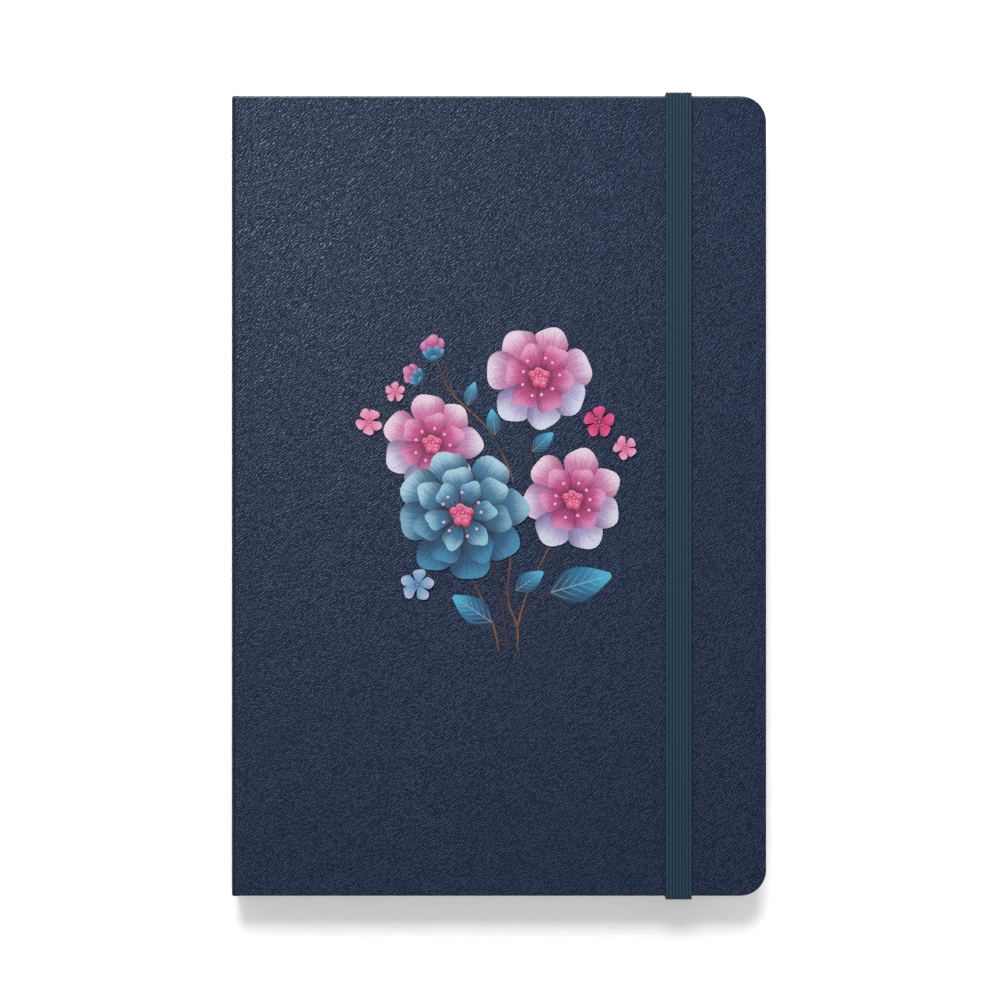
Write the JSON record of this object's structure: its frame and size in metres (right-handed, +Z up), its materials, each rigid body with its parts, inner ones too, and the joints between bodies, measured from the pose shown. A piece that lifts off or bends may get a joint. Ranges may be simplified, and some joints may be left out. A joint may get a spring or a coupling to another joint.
{
  "type": "hardcover logbook",
  "caption": "Hardcover sewn logbook with grained navy covers, a small floral print, cream pages and a ribbed elastic band that holds it shut; covers, page halves and a centre leaf open.",
  "frame": {"origin": "on the surface the closed book lies on, under the middle of its back cover", "axes": "+X from the spine to the fore edge, +Y from tail to head (up the page), +Z up through the book from the back cover to the front cover"},
  "size_m": [0.1442, 0.2178, 0.0159],
  "materials": {
    "leatherette": "fine grain, satin",
    "greyboard": "matte",
    "endpaper": "matte",
    "page_paper": "matte, uncoated",
    "band_elastic": "ribbed, matte",
    "mull_gauze": "open weave, matte",
    "kraft_paper": "matte",
    "headband_weave": "striped, silky",
    "linen_thread": "matte"
  },
  "bodies": {
    "back_cover": {"back_board": "greyboard", "back_cloth": "leatherette", "back_joint_cloth": "leatherette", "back_pastedown": "endpaper", "back_flyleaf": "endpaper", "section_06_back": "page_paper", "section_07": "page_paper", "section_08": "page_paper", "section_09": "page_paper", "section_10": "page_paper", "section_11": "page_paper", "elastic_head_anchor": "band_elastic", "elastic_tail_anchor": "band_elastic"},
    "spine": {"spine_board": "greyboard", "spine_cloth": "leatherette", "front_joint_cloth": "leatherette", "kraft_liner": "kraft_paper", "mull": "mull_gauze", "headband": "headband_weave", "tailband": "headband_weave", "sewing_threads": "linen_thread"},
    "front_block": {"front_flyleaf": "endpaper", "section_01": "page_paper", "section_02": "page_paper", "section_03": "page_paper", "section_04": "page_paper", "section_05": "page_paper", "section_06_front": "page_paper"},
    "front_cover": {"front_board": "greyboard", "front_cloth": "leatherette", "front_pastedown": "endpaper"},
    "centre_leaf": {"turning_leaf": "page_paper"},
    "band_sides": {"elastic_head_wrap": "band_elastic", "elastic_tail_wrap": "band_elastic"},
    "band_front": {"elastic_front_run": "band_elastic"}
  },
  "joints": [
    {"name": "book_opening", "type": "hinge", "parent": "back_cover", "child": "spine", "pos_m": [-0.07215, 0, 0], "axis": [0, -1, 0], "range_deg": [0, 90], "deforming": ["back_joint_cloth"]},
    {"name": "block_opening", "type": "hinge", "parent": "spine", "child": "front_block", "pos_m": [-0.07215, 0, 0.015], "axis": [0, -1, 0], "range_deg": [0, 90], "deforming": ["front_joint_cloth"]},
    {"name": "front_cover_opening", "type": "hinge", "parent": "front_block", "child": "front_cover", "pos_m": [-0.07215, 0, 0.015], "axis": [0, -1, 0], "range_deg": [0, 175]},
    {"name": "leaf_turning", "type": "hinge", "parent": "spine", "child": "centre_leaf", "pos_m": [-0.0701, 0, 0.0075], "axis": [0, -1, 0], "range_deg": [-30, 0]},
    {"name": "band_draw", "type": "slide", "parent": "back_cover", "child": "band_sides", "axis": [1, 0, 0], "range_m": [0, 0.03], "deforming": ["elastic_head_anchor", "elastic_tail_anchor", "elastic_head_wrap", "elastic_tail_wrap"]},
    {"name": "band_drop", "type": "slide", "parent": "band_sides", "child": "band_front", "axis": [0, 0, -1], "range_m": [0, 0.014], "deforming": ["elastic_front_run"]}
  ],
  "couplings": [
    {"joint": "block_opening", "follows": "book_opening", "ratio": 1},
    {"joint": "leaf_turning", "follows": "book_opening", "ratio": -0.3333},
    {"joint": "band_draw", "follows": "book_opening", "m_per_rad": 0.019},
    {"joint": "band_drop", "follows": "book_opening", "m_per_rad": 0.0088}
  ]
}
